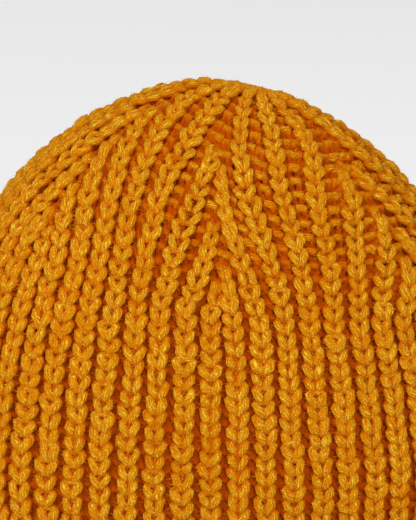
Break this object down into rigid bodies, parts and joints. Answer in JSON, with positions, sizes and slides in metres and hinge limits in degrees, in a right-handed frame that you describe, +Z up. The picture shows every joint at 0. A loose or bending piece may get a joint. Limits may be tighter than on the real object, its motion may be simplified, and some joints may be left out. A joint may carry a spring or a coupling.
{
  "type": "ribbed knit beanie",
  "caption": "Chunky ribbed knit beanie with a shaped crown, open below, standing on its rim as an oval dome; one thick wall to wear on a head.",
  "frame": {"origin": "middle of the footprint, on the surface that the rim stands on", "axes": "+Z up through the crown, front towards -Y, +X along the long axis of the oval"},
  "size_m": [0.2182, 0.1278, 0.1927],
  "materials": {
    "wool_knit": "chunky plied wool in a one by one rib, mustard yellow, soft and slightly fuzzy, with no shine"
  },
  "bodies": {
    "root": {"knit_shell": "wool_knit"}
  },
  "joints": []
}
